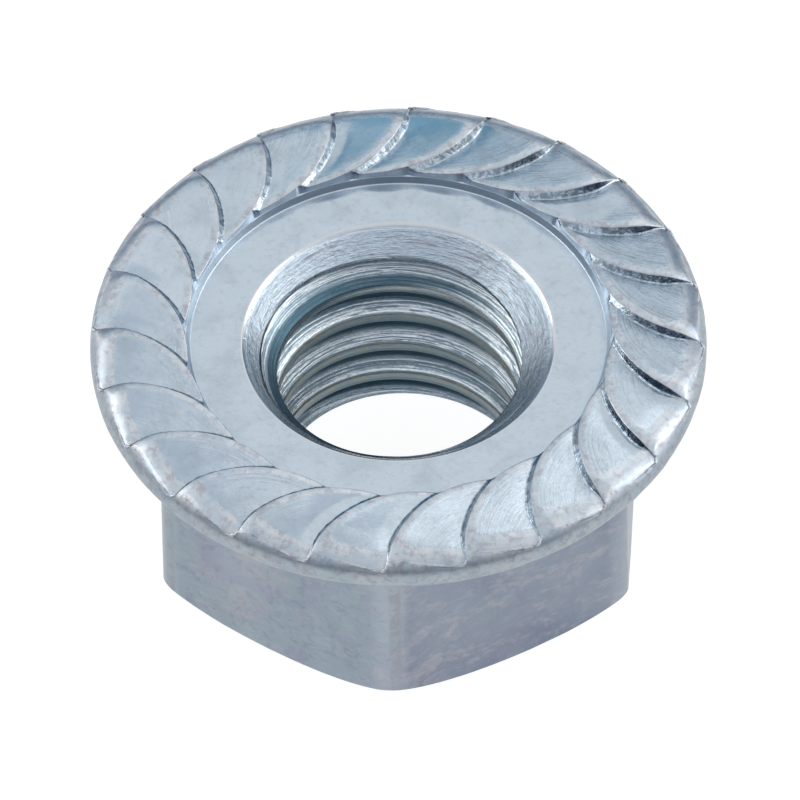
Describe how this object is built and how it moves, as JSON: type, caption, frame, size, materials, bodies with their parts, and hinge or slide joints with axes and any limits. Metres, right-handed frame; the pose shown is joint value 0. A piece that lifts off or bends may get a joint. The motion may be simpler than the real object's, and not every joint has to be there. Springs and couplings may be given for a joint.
{
  "type": "serrated flange nut",
  "caption": "Hexagon nut with a built-in round flange whose bearing face has ratchet teeth that lock it against loosening.",
  "frame": {"origin": "centre of the hexagon's outer end face, which is the face it stands on", "axes": "+Z along the thread axis from the hexagon to the flange and its teeth; two corners of the hexagon lie on the Y axis and two of its flats face +X and -X"},
  "size_m": [0.0172, 0.0172, 0.0077],
  "materials": {
    "zinc_plate": "bright zinc plate, satin, with a faint blue tone"
  },
  "bodies": {
    "root": {"flange_nut": "zinc_plate"}
  },
  "joints": []
}
